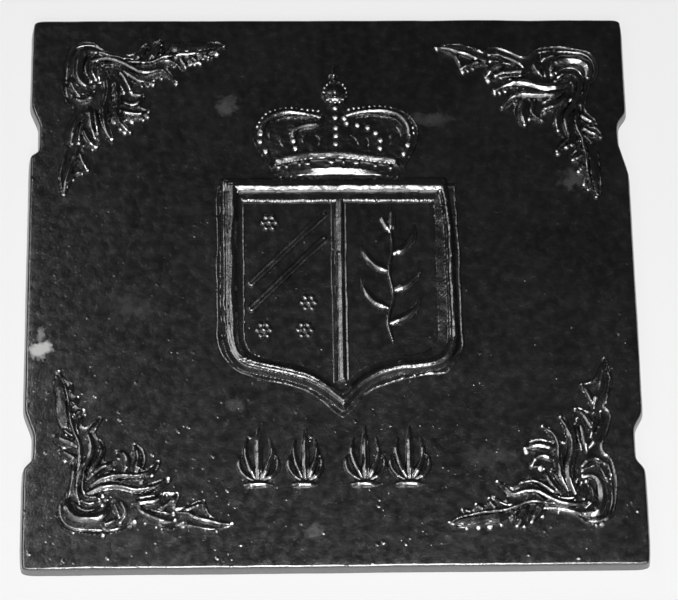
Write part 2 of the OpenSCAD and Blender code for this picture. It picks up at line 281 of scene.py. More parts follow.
def relief(node, x, z, h, keep=None, place=None):
    """A closed mesh for a node, whose top has the heights h over the face and whose foot lies in the slab.
    keep limits it to some cells, and place moves the plane's points after the heights are known."""
    h = np.maximum(h, CUT)
    high = h > LEAST
    cells = high[:-1, :-1] | high[1:, :-1] | high[1:, 1:] | high[:-1, 1:]
    if keep is not None:
        cells &= keep
    ci, cj = np.nonzero(cells)
    ni, nj = h.shape
    ids = np.arange(ni * nj).reshape(ni, nj)
    quads = np.stack([ids[ci, cj], ids[ci + 1, cj], ids[ci + 1, cj + 1], ids[ci, cj + 1]], 1)
    used, packed = np.unique(quads, return_inverse=True)
    quads = packed.reshape(-1, 4)
    px, pz = (x.ravel(), z.ravel()) if place is None else place(x.ravel(), z.ravel())
    px, pz, ph = px[used], pz[used], h.ravel()[used]
    n = len(used)
    top = np.stack([px, FRONT - ph, pz], 1)
    low = np.stack([px, np.full(n, FRONT + SUNK), pz], 1)
    edges = np.concatenate([quads[:, [k, (k + 1) % 4]] for k in range(4)])
    key = np.sort(edges, 1)
    key = key[:, 0].astype(np.int64) * (n + 1) + key[:, 1]
    _, first, count = np.unique(key, return_index=True, return_counts=True)
    rim = edges[first[count == 1]]
    walls = np.stack([rim[:, 1], rim[:, 0], rim[:, 0] + n, rim[:, 1] + n], 1)
    faces = np.concatenate([quads, quads[:, ::-1] + n, walls])
    # the plane's first axis runs right and its second up, so this order faces the front
    obj = new_object(node, np.concatenate([top, low]) * MM, faces.tolist(), node)
    # flat walls leave the top its own normals where it is cut off
    obj.data.polygons.foreach_set("use_smooth", np.arange(len(obj.data.polygons)) < 2 * len(quads))
    obj.data.set_sharp_from_angle(angle=CREASE)


# ---- the slab

def rounded(points):
    """Cuts the corners of a closed ring twice, into curves."""
    p = np.array(points, float)
    for _ in range(2):
        q = np.roll(p, -1, axis=0)
        p = np.stack([0.75 * p + 0.25 * q, 0.25 * p + 0.75 * q], 1).reshape(-1, 2)
    return p


def resample(ring, spacing):
    """A closed ring's points at an even spacing."""
    closed = np.vstack([ring, ring[:1]])
    return walk(closed, lambda size: np.linspace(0, size, int(size / spacing), endpoint=False))


def outline():
    """The slab's outline at the back, with its four notches, anticlockwise from the front."""
    w, top = FACE_W / 2 + DRAFT, FACE_H + 2 * DRAFT
    floor = FACE_W / 2 - NOTCH
    r = 5.5

    def notch(side, *levels):
        """A notch's eight points, and a plain one before and after them, from the first level on."""
        depths = (w, w, w - 1.5, floor + 0.6, floor, floor, floor + 0.6, w - 1.5, w, w)
        return [(side * d, level) for d, level in zip(depths, levels)]

    p = [(-w + r, 0), (-w + 30, 0), (w - 30, 0), (w - r, 0), (w, r)]
    p += notch(1, 60, 94, 99, 107, 112, 133, 139, 150, 156, 180)
    right_upper = notch(1, 380, 401, 407, 433, 438, 452, 457, 466, 471, 490)
    # its lower ramp starts a little more gently
    right_upper[2] = (w - 1.2, 407)
    p += right_upper
    p += [(w, top - 30), (w, top - r), (w - r, top), (w - 30, top)]
    p += [(-w + 30, top), (-w + r, top), (-w, top - r), (-w, top - 30)]
    p += notch(-1, 490, 479, 473, 458, 453, 434, 430, 426, 421, 390)
    p += notch(-1, 190, 161, 155, 137, 132, 115, 111, 104, 99, 60)
    p += [(-w, r)]
    return resample(rounded(p), 2.0)


def slab():
    """The plate: a drafted and rounded side, and an uneven front and back."""
    ring = outline()
    inward = left_of(ring_tangents(ring))
    for _ in range(4):
        inward = (np.roll(inward, 1, axis=0) + inward + np.roll(inward, -1, axis=0)) / 3
    inward /= np.hypot(*inward.T)[:, None]
    # the cast edge wanders a little, always inwards
    rx, rz = ring.T
    wander = np.maximum(0.25 + 0.2 * noise(rx, rz, 38, 3) + 0.07 * noise(rx, rz, 9, 4), 0.02)
    softness = 1 + 0.3 * noise(rx, rz, 30, 5)
    thick = BACK - FRONT
    # insets from the outline, and heights over the back: the drafted side, and the rounded arris
    sections = [(1.6, 0.0), (0.3, 0.15), (0.0, 0.6), (0.9, 5.0), (1.7, 9.0)]
    for a in (12, 30, 48, 66, 80, 90):
        sections.append((5.4 - 3.0 * cos(radians(a)), thick - 3 + 3 * sin(radians(a))))
    # the upper edge has less draft
    upper = np.clip(-inward[:, 1], 0, 1) ** 2
    rings = []
    for inset, up in sections:
        grow = np.clip((up - thick + 4) / 4, 0, 1)
        shift = inset + wander + grow * (softness - 1) * 1.5 - upper * 1.9 * np.clip((up - 1) / 10, 0, 1)
        p = ring + inward * shift[:, None]
        rings.append(np.column_stack([p[:, 0], np.full(len(p), BACK - up), p[:, 1]]))
    n = len(ring)
    verts = np.concatenate(rings)
    faces = []
    for k in range(len(rings) - 1):
        a = k * n + np.arange(n)
        b = k * n + (np.arange(n) + 1) % n
        faces.append(np.stack([a, b, b + n, a + n], 1))
    faces = np.concatenate(faces).tolist()

    def fill(start, cell, y, depth, seed, flip):
        """Fills a ring with a skin of small triangles that rises and falls a little."""
        nonlocal verts
        edge = verts[start:start + n][:, [0, 2]]
        gx, gz = grid((-FACE_W / 2, 0), (FACE_W / 2, FACE_H + 6), cell)
        gx = gx + 0.25 * cell * noise(gx, gz, cell * 0.7, seed)
        gz = gz + 0.25 * cell * noise(gz, gx, cell * 0.7, seed + 1)
        inner = np.column_stack([gx.ravel(), gz.ravel()])
        inner = inner[ring_depth(*inner.T, edge[::2]) > cell * 0.8]
        coords = [Vector(p) for p in np.vstack([edge, inner]).tolist()]
        border = [(k, (k + 1) % n) for k in range(n)]
        placed, _, tris, source, _, _ = delaunay_2d_cdt(coords, border, [], 1, 1e-5)
        px, pz = np.array([tuple(p) for p in placed]).T
        d = ring_depth(px, pz, edge[::2])
        wave = 0.55 * noise(px, pz, 85, seed + 2) + 0.3 * noise(px, pz, 33, seed + 3)
        wave = wave + 0.15 * noise(px, pz, 13, seed + 4)
        base = len(verts)
        verts = np.vstack([verts, np.column_stack([px, y + depth * step(d / 14) * (wave + 0.5), pz])])

        def vertex(k):
            return start + source[k][0] if source[k] and source[k][0] < n else base + k

        for t in tris:
            t = [vertex(k) for k in t]
            faces.append(t[::-1] if flip else t)

    fill((len(sections) - 1) * n, 6.0, FRONT, 0.28, 11, False)
    fill(0, 14.0, BACK, -0.35, 21, True)
    verts[:, 1] = np.minimum(verts[:, 1], BACK)
    new_object("slab", verts * MM, faces, "plate")


# ---- the corner ornaments

# The stamp's outline, mm right of and below the face's corner
PAD = [
    (31, 46), (35, 33), (41, 28), (50, 24.5), (57, 25), (63, 27), (71, 33.5), (77, 36), (83, 38),
    (90, 39.5), (96, 40), (101, 38), (106, 33), (113, 29), (116, 37), (117, 31), (121, 27), (126, 25),
    (131, 30), (131, 37), (138, 31.5), (145, 29), (155, 28.5), (172, 28), (188, 28), (195, 34), (186, 41),
    (181, 47), (171, 47), (168, 52), (163, 53), (158, 51), (154, 58), (149, 60), (142, 55), (137, 57),
    (146, 72), (142, 74), (130, 67), (122, 73), (112, 76), (102, 74), (101, 83), (110, 84), (112, 90),
    (106, 96), (117, 103), (111, 112), (98, 114), (90, 111), (98, 124), (94, 127), (86, 122), (80, 112),
    (76, 112), (81, 133), (77, 137), (71, 130), (66, 112), (64, 112), (67, 128), (65, 142), (60, 144),
    (51, 140), (52, 150), (56, 160), (56, 167), (47, 169), (40, 173), (36, 178), (33, 186), (30, 193),
    (27, 190), (25, 183), (24, 175), (24, 165), (27, 157), (30, 151), (33, 143), (29, 139), (28, 131),
    (31, 121), (35, 112), (39, 104), (38, 98), (33, 93), (30, 87), (28, 75), (28, 62)]
# The highest that a worn leaf may be, within the solid's height
LEAF_TOP = 9.95
# Width, height, form and ridge of each leaf, mm right of and below the face's corner
LEAVES = [
    # the curl round the corner
    (12.5, 8.8, "round", [(63, 37), (56, 36.5), (50, 39), (46, 46), (44.5, 55), (45, 64), (49, 71), (55, 74),
                          (61, 73.5)]),
    # the flat lip outside the curl
    (5, 3.6, "round", [(62, 30), (52, 29.5), (42, 33), (36, 44), (34.5, 58), (34, 70)]),
    (4, 3.0, "round", [(33, 72), (34, 80), (36, 88)]),
    # the rolls inside the curl
    (4.5, 5.5, "round", [(62, 42), (56, 47), (53, 54), (54, 62), (58, 69)]),
    (4.5, 6.0, "round", [(66, 47), (61, 53), (60, 60), (63, 67)]),
    (4, 5.5, "round", [(71, 50), (67, 56), (66, 63), (67, 70)]),
    # the stem that runs on to the tip below, and its shoulder
    (7, 9.3, "round", [(60, 48), (70, 46), (80, 47), (90, 51), (98, 55.5), (106, 60.5), (113, 62), (121, 61),
                       (129, 59.5), (134, 63), (139, 68), (144, 72)]),
    (8, 4.4, "round", [(66, 37), (78, 41), (90, 44), (102, 45)]),
    (4, 7.0, "round", [(66, 54), (76, 52), (86, 54), (94, 59)]),
    # the side leaf: its vein, its upper half and its scallops
    (5, 7.6, "round", [(86, 47), (97, 49.5), (110, 51), (120, 50), (131, 46), (145, 43.5), (160, 42.5),
                       (172, 41), (182, 39), (193, 34.5)]),
    (11, 5.0, "flat", [(134, 38), (145, 36), (158, 35), (172, 34.5), (184, 34), (191, 33)]),
    (2.2, 3.4, "round", [(140, 32), (152, 30.5), (165, 30.5), (180, 31), (190, 32)]),
    (7, 6.5, "round", [(147, 45), (151, 51), (153, 56)]),
    (7, 6.0, "round", [(159, 45), (164, 49), (166, 51)]),
    (6, 5.6, "round", [(171, 43), (177, 45.5), (180, 46)]),
    (4, 5.5, "round", [(128, 50), (136, 49), (143, 52), (148, 57)]),
    # the two lobes over the stem
    (8, 7.4, "round", [(103, 48), (108, 42), (112, 36), (114, 31)]),
    (9, 7.8, "double", [(117, 48), (121, 42), (125, 35), (129, 27)]),
    (4, 6.0, "round", [(126, 46), (131, 40), (137, 35)]),
    # the frond under the stem
    (6.5, 7.3, "round", [(84, 58), (92, 60.5), (99, 65.5), (106, 70), (113, 71.5), (121, 70)]),
    # the two short fronds beside the long ones
    (7, 7.4, "round", [(84, 57), (90, 64), (95, 72), (98, 82)]),
    (4.5, 6.2, "round", [(79, 62), (86, 71), (91, 82)]),
    # the two side crescents
    (6.5, 7.2, "round", [(88, 91), (94, 94.5), (100, 96), (106, 93), (110, 86)]),
    (9, 8.0, "double", [(86, 102), (94, 105), (104, 106.5), (115, 103.5)]),
    # the long fronds
    (12, 8.8, "double", [(69, 56), (74, 68), (75, 80), (73, 90), (70, 100), (70, 110), (72, 121), (78, 133)]),
    (9, 9.2, "double", [(77, 60), (82, 71), (84, 83), (84, 95), (83, 104), (85, 113), (89, 119), (96, 125)]),
    # the small lobe and the crescent under the curl
    (5.5, 5.2, "round", [(38, 67), (41, 77), (46, 84)]),
    (6, 7.6, "round", [(62, 83.5), (57, 88), (50, 91), (44, 89), (39, 85)]),
    (3, 5.0, "round", [(47, 84), (54, 82.5), (61, 80)]),
    # the fronds under the crescent
    (7, 7.2, "round", [(55, 100), (49, 106), (44, 114), (40, 122), (38, 130), (38, 137)]),
    (4, 5.6, "round", [(51, 111), (48, 120), (46, 129), (45, 136)]),
    (8, 7.4, "double", [(49, 120), (53, 130), (57, 136), (63, 141)]),
    (7, 7.8, "round", [(56, 98), (57, 108), (58, 118), (60, 126), (62, 131)]),
    (4, 6.4, "round", [(61, 100), (62.5, 112), (64, 126)]),
    # the lower leaf's two ridges and its lip
    (7, 7.8, "round", [(45, 141), (43, 150), (38, 160), (35, 170), (32, 180), (30, 191)]),
    (6, 6.8, "round", [(46, 144), (49, 155), (54, 166)]),
    (4, 5.8, "round", [(53, 166), (46, 168), (39, 172), (34, 182), (30, 190)]),
    (3.5, 4.8, "round", [(33, 145), (30, 158), (27, 170), (29, 188)])]


def ornament_heights(x, z, seed, down):
    """Heights of one corner ornament. x runs right from the face's corner and z up, so z is negative.
    down is the direction that points down once the stamp is in its place."""
    ring = smooth_line([(p, -q) for p, q in PAD], 3, closed=True)
    out = [pad(x, z, ring, 1.6)]
    # each press of the stamp comes out a little different
    wx = x + 0.5 * noise(x, z, 22, seed)
    wz = z + 0.5 * noise(x, z, 22, seed + 1)
    out += [ridge(wx, wz, [(p, -q) for p, q in line], w, h, form=form) for w, h, form, line in LEAVES]
    # a small round end on each leaf
    out += [bead(wx, wz, (line[-1][0], -line[-1][1]), 1.7 + 0.09 * w, 0.42 * h, 0.4, down)
            for w, h, _, line in LEAVES]
    # drops of iron and polish along the pad's lower edges
    edge = resample(ring, 5.6)
    outward = left_of(ring_tangents(edge))
    amount = noise(*edge.T, 3, seed + 4)
    for at, facing, much in zip(edge, outward @ np.array(down), amount):
        if facing > 0.6 and much > 0.1:
            out.append(bead(x, z, at, 1.5 + 2.2 * much, 2.1, 0.4, down))
    total = blend(out, 0.3)
    worn = 0.5 * noise(x, z, 10, seed + 2) + 0.1 * noise(x, z, 4, seed + 3)
    return np.where(total > 0.5, np.minimum(total + worn * step(total / 3), LEAF_TOP), total)


def corner(node, corner_at, quarter, shift, turn, seed):
    """Sets one stamp at a corner of the face, with its quarter turns, its shift in mm and its small turn."""
    x, z = grid((20.0, -198.0), (200.0, -20.0), 0.7)
    c, s = cos(radians(turn)), sin(radians(turn))
    cq, sq = [(1, 0), (0, 1), (-1, 0), (0, -1)][quarter]
    # the object's downward direction, as the turned stamp has it
    h = ornament_heights(x, z, seed, (-sq, -cq))

    def place(px, pz):
        ax, az = c * px - s * pz + shift[0], s * px + c * pz + shift[1]
        return corner_at[0] + cq * ax - sq * az, corner_at[1] + sq * ax + cq * az

    relief(node, x, z, h, place=place)


# ---- the shield

# From the top down to the tip: the moulding's outer edge, its crest, its inner foot, and the flange's edge
EDGE_LEFT = [
    (-107.8, 385), (-108, 347), (-108, 309), (-107.8, 269), (-106.4, 238), (-103, 221.5), (-97.6, 211.1),
    (-90, 203.5), (-82, 199.9), (-67, 196.3), (-52.6, 193.3), (-38, 189.5), (-23.6, 184.3), (-12, 177.7),
    (-2.4, 170.2), (8.6, 160.6)]
EDGE_RIGHT = [
    (113.6, 385), (115.8, 368), (118.2, 346), (118.6, 322), (118.6, 299), (119, 276), (119.9, 242),
    (120.1, 228), (118.3, 217.5), (111.3, 207.5), (99, 201), (84, 198.7), (74, 197.8), (64, 196.4),
    (49.5, 193.2), (39.7, 189.2), (29.9, 183), (19.9, 173.7), (8.6, 160.6)]
CREST_LEFT = [
    (-97.6, 381), (-97.3, 360), (-98.1, 348), (-99.3, 337), (-98.9, 317), (-98.9, 294), (-99.3, 273),
    (-97.7, 240), (-95.8, 222), (-91.5, 213.4), (-82, 207.1), (-67, 203.1), (-52.6, 200.3), (-38, 196.3),
    (-23.6, 191.1), (-12, 184.5), (-2.4, 176.4), (8.6, 166.3)]
CREST_RIGHT = [
    (112.4, 381), (114.6, 368), (117, 346), (117.4, 322), (117.4, 299), (117.8, 276), (118.6, 242),
    (118.4, 229), (115.6, 219.5), (109, 210.5), (98, 204.7), (84, 202.5), (74, 201.6), (64, 200.2),
    (49.5, 196.8), (39.7, 192.8), (29, 186.1), (19.9, 177.7), (8.6, 165.9)]
INNER_LEFT = [
    (-86.7, 355), (-86.7, 300), (-86.5, 250), (-86.2, 236), (-84.8, 225.7), (-79, 216.5), (-68, 212),
    (-57, 209.5), (-46, 207.3), (-25, 200), (-9, 190.5), (7.5, 180)]
INNER_RIGHT = [
    (101, 355), (101.3, 300), (101.5, 246), (101, 232), (98, 223), (90, 217.5), (77, 214), (60, 212),
    (40, 207), (25, 199), (14, 188.5), (7.5, 180)]
FLANGE_LEFT = [
    (-113.8, 388), (-115.6, 377), (-114.8, 356), (-114.3, 331), (-115.6, 308), (-114.8, 286),
    (-114.5, 250), (-114.8, 235), (-112.4, 221.5), (-106, 210), (-98, 200.8), (-84, 194), (-67.5, 188.6),
    (-52.8, 185.4), (-38.4, 181.8), (-24, 175.6), (-12.5, 167.4), (-3, 157.8), (8.6, 150.2)]
FLANGE_RIGHT = [
    (125.4, 388), (126.3, 371), (127.2, 347), (128, 318), (128, 289), (128.3, 238), (129, 222),
    (124.5, 211), (116, 200), (108.6, 194.5), (94, 193.2), (74.3, 190), (49.8, 182.8), (40, 179),
    (30.4, 173), (20.5, 160.2), (8.6, 150.2)]
# The mitres between the rail and the two stiles
MITRE_LEFT = [(-115, 400), (-107.8, 395.5), (-97.6, 388.6), (-86.7, 372.3), (-80, 361)]
MITRE_RIGHT = [(94, 361), (100.8, 372.3), (111.4, 388), (112.8, 395.5), (124, 400)]
# Across the moulding's outer slope, from its edge at 0 to its crest at 1: the share of the rise, at each side
LEFT_ROOF = [(0, 0), (0.2, 0.17), (0.24, 0.36), (0.58, 0.6), (0.66, 0.72), (1, 1)]
BASE_ROOF = [(0, 0), (0.4, 0.46), (0.6, 0.54), (1, 1)]
RIGHT_ROOF = [(0, 0), (0.72, 0.93), (1, 1)]
# Across its inner side, from the foot at 0 to the crest at 1: the heights of the rail's broad bevel, of the
# hollow on the left, and of the shelf on the right
RAIL_SIDE = [
    (0, 0), (0.045, 2.1), (0.18, 2.95), (0.2, 2.9), (0.7, 2.7), (0.701, 6.65), (0.78, 7.05), (0.95, 8.05),
    (1, 8.25)]
LEFT_SIDE = [
    (0, 0), (0.02, 0.1), (0.021, 1.9), (0.13, 1.9), (0.3, 2.1), (0.5, 2.8), (0.62, 4.2), (0.8, 7.0),
    (0.95, 8.2), (1, 8.3)]
RIGHT_SIDE = [
    (0, 0), (0.1, 3.0), (0.66, 4.3), (0.73, 5.6), (0.8, 6.0), (0.86, 7.4), (0.93, 7.9), (1, 8.3)]
# The crest's height, the highest that the roughness may reach, and the level where the stiles end
CREST_HEIGHT, MOULDING_TOP, BASE_LEVEL = 8.3, 8.95, 246


def shield_ring(left, right, top_left, top_right):
    """A closed ring from the lines down the two sides and its two upper corners."""
    down = smooth_line(left, 3)
    up = smooth_line(right, 3)[::-1][1:]
    return np.vstack([[top_left], down, up, [top_right]])


def shield():
    """The shield's frame, whose five pieces are cut from one field of heights."""
    edge = shield_ring(EDGE_LEFT, EDGE_RIGHT, (-107.8, 395.5), (112.8, 395.5))
    crest = shield_ring(CREST_LEFT, CREST_RIGHT, (-97.6, 388.6), (111.4, 388))
    inner = shield_ring(INNER_LEFT, INNER_RIGHT, (-86.7, 372.3), (100.8, 372.3))
    flange = shield_ring(FLANGE_LEFT, FLANGE_RIGHT, (-113.4, 396), (124.8, 396))
    x, z = grid((-119, 144), (133, 402), 0.75)
    # the pattern was cut by hand, so its lines wander
    wx = x + 0.35 * noise(x, z, 17, 38) + 0.2 * noise(x, z, 6, 39)
    wz = z + 0.35 * noise(x, z, 17, 40) + 0.2 * noise(x, z, 6, 37)
    e, c, i, f = (ring_depth(wx, wz, ring) for ring in (edge, crest, inner, flange))
    mitre = np.maximum(profile(x, MITRE_LEFT), profile(x, MITRE_RIGHT))
    on_top = step((z - mitre) / 3 + 0.5)
    on_left = step((-x - 60) / 25) * step((z - 205) / 20) * (1 - on_top)
    on_right = step((x - 95) / 14) * step((z - 214) / 12) * (1 - on_top)
    # the sloping top between the outer edge and the crest has a worked line at each side
    a = np.clip(e / np.maximum(e - c, 1e-6), 0, 1)
    edge_height = 6.85 - 1.85 * on_left * step((391 - z) / 8) + 0.15 * step((x - 8) / 20) + 0.6 * on_right
    on_base = np.clip(1 - on_left - step((x - 3) / 9), 0, 1)
    shape = (profile(a, LEFT_ROOF) * on_left + profile(a, BASE_ROOF) * on_base
             + profile(a, RIGHT_ROOF) * (1 - on_left - on_base))
    roof = edge_height + (CREST_HEIGHT - edge_height) * shape
    # towards the field: a broad bevel on the rail, a hollow on the left, and a hatched shelf on the right
    b = np.clip(-i / np.maximum(c - i, 1e-6), 0, 1)
    left_side = (profile(b, LEFT_SIDE)
                 + (0.15 + 0.35 * on_left) * np.clip((0.13 - b) / 0.11, 0, 1) * (b > 0.02))
    on_shelf = step((x - 60) / 40) * (1 - on_top)
    side = (profile(b, RAIL_SIDE) * on_top + profile(b, RIGHT_SIDE) * on_shelf
            + left_side * (1 - on_top - on_shelf))
    h = np.where(c < 0, roof, side)
    h = np.where(e < 0, edge_height + e * 1.9, h)
    # a thin flange round the sides and the base, where the pattern's board was pressed into the sand
    board = np.minimum(f, (393 - z) * 0.6)
    patchy = 1 - 0.45 * (0.5 + noise(x, z, 5, 36)) * step((215 - z) / 15)
    lip = (0.15 + 0.4 * step((x - 15) / 15)) * np.exp(-((board - 1.8) / 1.0) ** 2)
    soft = np.maximum(on_left, on_right)
    board = np.where(board > 0, (0.65 * (np.tanh(board * 1.7) * soft + 1 - soft) + lip) * patchy, board)
    board = np.maximum(board, bead(x, z, (79, 192.5), 2.4, 0.9, 0.7))
    h = np.where(e < 0, np.maximum(np.maximum(h, board), -2), h)
    h = np.where(i > 0, -i * 1.2, h)
    # drawn lines along the outer side, and a worn, hatched shelf on the right
    drawn = 0.15 * np.sin(2.1 * e + 1.5 * noise(x, z, 25, 48)) + 0.05 * noise(e, (x + z) / 14, 1.7, 44)
    drawn = drawn * step((0.95 - a) / 0.2) * (c < 0)
    hatch = 0.34 * np.sin((z - 1.3 * x) * 1.35 + 1.5 * noise(x, z, 9, 45))
    hatch = hatch * (x > 90) * (z > 230) * (z < 372)
    hatch = hatch * step((b - 0.08) / 0.1) * step((0.68 - b) / 0.08) * (0.6 + 0.5 * noise(x, z, 12, 46))
    # a row of dots along the rail's foot
    dotted = 0.3 * np.sin(1.4 * x + 2 * noise(x, z, 12, 47)) - 0.1
    dotted = dotted * np.exp(-((b - 0.12) / 0.07) ** 2) * on_top
    # on the left stile the roughness is drawn out along the stile
    rough = 0.2 * noise(x, z / (1 + 3 * on_left), 7, 41) + 0.1 * on_top * noise(x, z, 4, 49)
    rough = rough + 0.06 * noise(x, z / (1 + 6 * on_left), 2.6, 42) + 0.25 * noise(x, z, 30, 43)
    rough = rough + drawn + hatch + dotted
    h = np.where((h > 0.2) & (e > 0), np.minimum(h + rough * step(h / 2), MOULDING_TOP), h)
    # cells belong to the rail, the stiles or the two halves of the base
    mx, mz = x[:-1, :-1] + 0.4, z[:-1, :-1] + 0.4
    rail = mz > mitre[:-1, :-1] + 0.4
    stile = ~rail & (mz > BASE_LEVEL)
    base = ~rail & ~stile
    left = mx < MIDDLE_X
    for node, keep in (("frame_top_rail", rail), ("frame_left_stile", stile & left),
                       ("frame_right_stile", stile & ~left), ("frame_left_base", base & left),
                       ("frame_right_base", base & ~left)):
        # each piece runs on for two cells just under its neighbour, which hides the joint
        rows, columns = keep.shape
        own = np.zeros(h.shape, bool)
        for right, up in ((0, 0), (1, 0), (0, 1), (1, 1)):
            own[right:right + rows, up:up + columns] |= keep
        wide = keep.copy()
        for part in 2 * (wide, wide.T):
            part[1:] |= part[:-1].copy()
            part[:-1] |= part[1:].copy()
        relief(node, x, z, np.where(own, h, h - 0.03), wide)


# The divider's heights from left to right: a foot, a slope that faces left, a crest, and a lower foot
DIVIDER = [
    (-1.4, -0.9), (-0.9, 0.4), (-0.2, 0.8), (0.6, 0.8), (3.0, 0.9), (4.0, 2.2), (8.4, 4.1), (9.4, 4.35),
    (10.4, 3.9), (12.0, 0.9), (12.8, 0.7), (14.4, 1.35), (15.0, 0.9), (15.6, -0.9)]


def divider():
    """The upright rib through the shield."""
    x, z = grid((-2.4, 184), (17, 379), 0.6)
    h = profile(x - 0.5 * noise(x * 0, z, 34, 51), DIVIDER)
    h = np.minimum(h, np.minimum(z - 185.5, 377 - z) * 1.2)
    rough = 0.12 * noise(x, z, 8, 52) + 0.10 * noise(x, z / 30, 1.4, 53)
    h = np.where(h > 0.3, h + rough, h)
    relief("shield_divider", x, z, h)


# The charges: the bends' ends, the rosettes' middles, and the lines of the stem and its leaves
BENDS = [[(-80, 262), (-8, 334)], [(-80, 288), (-8, 360)]]
ROSETTES = [(-62, 352), (-28, 240), (-68, 240), (-24, 268)]
STEM = [(58, 228), (54, 250), (60, 275), (56, 300), (60, 325), (58, 350)]
STEM_LEAVES = [
    [(56, 246), (70, 252), (82, 262), (86, 274)], [(56, 262), (42, 268), (32, 280), (29, 292)],
    [(60, 280), (74, 286), (84, 298), (87, 310)], [(57, 300), (43, 306), (33, 318), (30, 330)],
    [(59, 318), (72, 324), (81, 336), (83, 348)], [(58, 342), (52, 352), (50, 362)],
    [(58, 342), (60, 354), (59, 368)]]


def charges():
    """Two bends and four rosettes on the left, and a climbing stem on the right."""
    x, z = grid((-90, 222), (0, 372), 0.7)
    bends = [ridge(x, z, [a, ((a[0] + b[0]) / 2, (a[1] + b[1]) / 2), b], 8.6, 4.0, 0.95, 0.95, "channel")
             for a, b in BENDS]
    relief("left_bends", x, z, blend(bends, 0.9))
    parts = []
    for at in ROSETTES:
        parts.append(dome(x, z, at, 3.8, 4.3))
        for k in range(6):
            a = radians(60 * k)
            parts.append(dome(x, z, (at[0] + 6.5 * cos(a), at[1] + 6.5 * sin(a)), 3.5, 3.0))
    relief("left_rosettes", x, z, blend(parts, 0.5))
    x, z = grid((22, 222), (94, 374), 0.7)
    relief("right_stem", x, z, ridge(x, z, STEM, 4.4, 3.4, 0.9, 0.7))
    h = blend([ridge(x, z, line, 9.6, 4.3, 0.5, 0.25, "double") for line in STEM_LEAVES], 0.5)
    relief("right_leaves", x, z, h)


# ---- the crown

# The outline of the cloth inside the crown
LINING = [
    (-50, 400.5), (10, 404.5), (70, 402.5), (75, 411), (82, 423), (86.5, 433), (89.5, 449), (86.5, 459),
    (80, 467.5), (66, 474.5), (50, 476.5), (28, 472.5), (14, 475.5), (0, 475.5), (-20, 469.5),
    (-40, 474.5), (-58, 470.5), (-70.5, 464.5), (-77.5, 452), (-77.5, 438), (-70, 424), (-62, 411)]
# The middle of the upper band's sloping front, and its heights across, from the foot up
UPPER_BAND = [
    (-64, 411.9), (-56, 414.1), (-38, 418), (-20, 420.8), (7, 421.6), (29, 419.4), (43, 417.4),
    (60, 415.2), (74, 412.9)]
UPPER_ACROSS = [
    (-5.6, -2), (-3.7, 5.6), (-3.2, 6.4), (-2.2, 6.61), (-1.0, 6.97), (1.2, 7.62), (2.4, 7.86),
    (3.6, 7.9), (4.6, 7.6), (7.5, -2)]
# The lower band's two edges, which bow upwards in the middle
LOWER_FOOT = [(-52, 399.2), (-38, 399.6), (-17, 400.5), (14, 400.8), (33, 400.4), (68, 399.2)]
LOWER_HEAD = [(-54, 403.5), (-38, 405.4), (-17, 407.4), (7, 408), (30, 406.8), (48, 404.6), (70, 403)]
OUTER_ARCHES = [
    [(-69.5, 449), (-66, 458), (-58, 465), (-43, 469), (-24, 467), (-8, 465)],
    [(80, 444), (79.5, 451), (76, 459), (67, 467), (50, 470.5), (28, 469), (16, 466)]]
INNER_ARCH = [(-37.5, 443), (-35, 450), (-27, 453.6), (-17, 455.4), (-10, 458), (-7, 463)]
PEARLS = [
    (5.5, 473), (5.5, 463), (5.8, 451.5), (5.8, 443), (5.5, 434), (-70, 445.5), (-70.5, 437),
    (-65, 426.5), (78, 433), (73.5, 423.5), (81, 445.5), (27.5, 454.5), (38, 451.8), (46, 446),
    (50.5, 438), (50, 429.5), (-37, 437.5), (-35, 429.5), (14.5, 462), (17, 457)]
# x, z, half width and half height
JEWELS = [
    (-52, 410.6, 2.4, 1.6), (-44, 411.5, 2.0, 2.0), (-31, 413.5, 1.8, 1.8), (-23, 414.4, 3.4, 2.2),
    (1, 416.2, 3.8, 2.3), (13, 416, 1.6, 1.6), (26, 415.2, 3.6, 2.4), (45, 411.8, 2.2, 2.0),
    (60, 409.2, 2.4, 1.9)]
LINING_FOLDS = [
    [(-48, 448), (-50, 442), (-49, 436), (-45, 431)], [(-24, 445), (-27.5, 441), (-27, 436)],
    [(-57, 455), (-60.5, 448), (-60.5, 440)], [(66, 456), (71, 449), (72, 441)],
    [(20, 446), (26, 441), (30, 433)], [(-14, 446), (-10, 440), (-12, 432)],
    [(36, 444), (39, 438), (38, 431)], [(60, 447), (62, 440), (60, 433)]]


# The orb's middle, and its highest point, within the solid's height
ORB_AT, ORB_TOP = (5.5, 490), 10.9


def offset_line(line, by):
    """A line beside another, to its left by so many mm."""
    p = smooth_line(line, 5)
    return p + left_of(np.gradient(p, axis=0)) * by


def beads(x, z, line, radius, height, pitch):
    """Small bosses set along a line at an even pitch."""
    out = np.full(x.shape, NOWHERE)
    x, z = x + 0.5 * noise(x, z, 7, 66), z + 0.5 * noise(x, z, 7, 67)
    for at in walk(line, lambda size: np.arange(pitch / 2, size, pitch)):
        out = np.maximum(out, bead(x, z, at, radius, height - 0.4, 0.4))
    return out


def lining(x, z):
    """The cloth inside the crown, whose edge is rolled up on the right."""
    ring = smooth_line(LINING, 4, closed=True)
    cloth = pad(x, z, ring, 1.5, rim=0.1 + 0.6 * step((x - 40) / 30), wide=1.6)
    rough = 0.3 * noise(x, z, 6, 61) + 0.16 * noise(x, z, 2.6, 62)
    folds = [ridge(x, z, line, 3, 2.6, 0.5, 0.4) for line in LINING_FOLDS]
    return blend([np.where(cloth > 0.9, cloth + rough, cloth)] + folds, 0.6)


